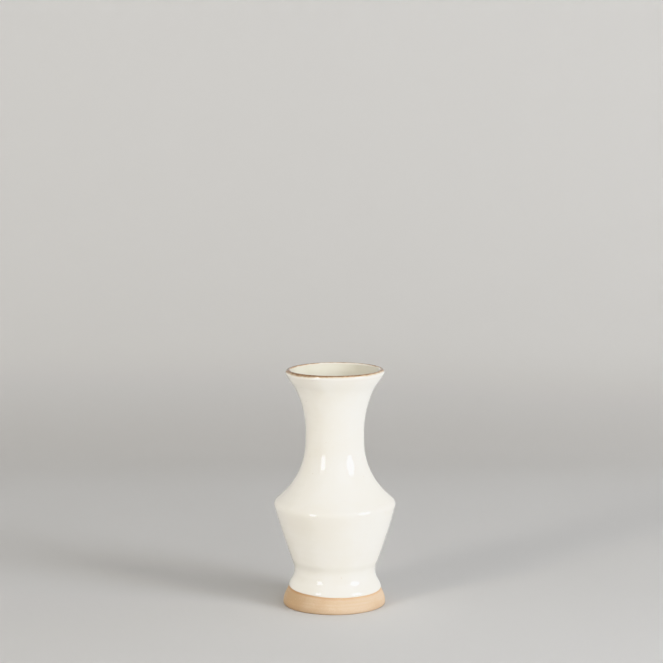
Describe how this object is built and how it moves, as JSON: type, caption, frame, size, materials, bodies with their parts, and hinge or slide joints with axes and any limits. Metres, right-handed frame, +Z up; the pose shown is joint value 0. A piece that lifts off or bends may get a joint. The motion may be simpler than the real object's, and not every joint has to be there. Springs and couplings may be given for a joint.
{
  "type": "bud vase",
  "caption": "Small glazed stoneware bud vase with a flared lip, narrow neck, angular belly and a bare clay foot band.",
  "frame": {"origin": "centre of the foot, on the surface that the vase stands on", "axes": "+Z up along the axis of the vase; +X to the right and -Y towards the viewer; the vase is round, so X and Y are alike"},
  "size_m": [0.0666, 0.0666, 0.13],
  "materials": {
    "bare_stoneware": "matt unglazed buff clay with fine grain and turning lines",
    "cream_glaze": "glossy cream-white glaze, slightly uneven",
    "liner_glaze": "glossy cream glaze poured inside",
    "brown_rim_glaze": "thin glossy iron-brown break over the lip"
  },
  "bodies": {
    "root": {"stoneware_body": "bare_stoneware", "outer_glaze": "cream_glaze", "inner_glaze": "liner_glaze", "rim_glaze": "brown_rim_glaze"}
  },
  "joints": []
}
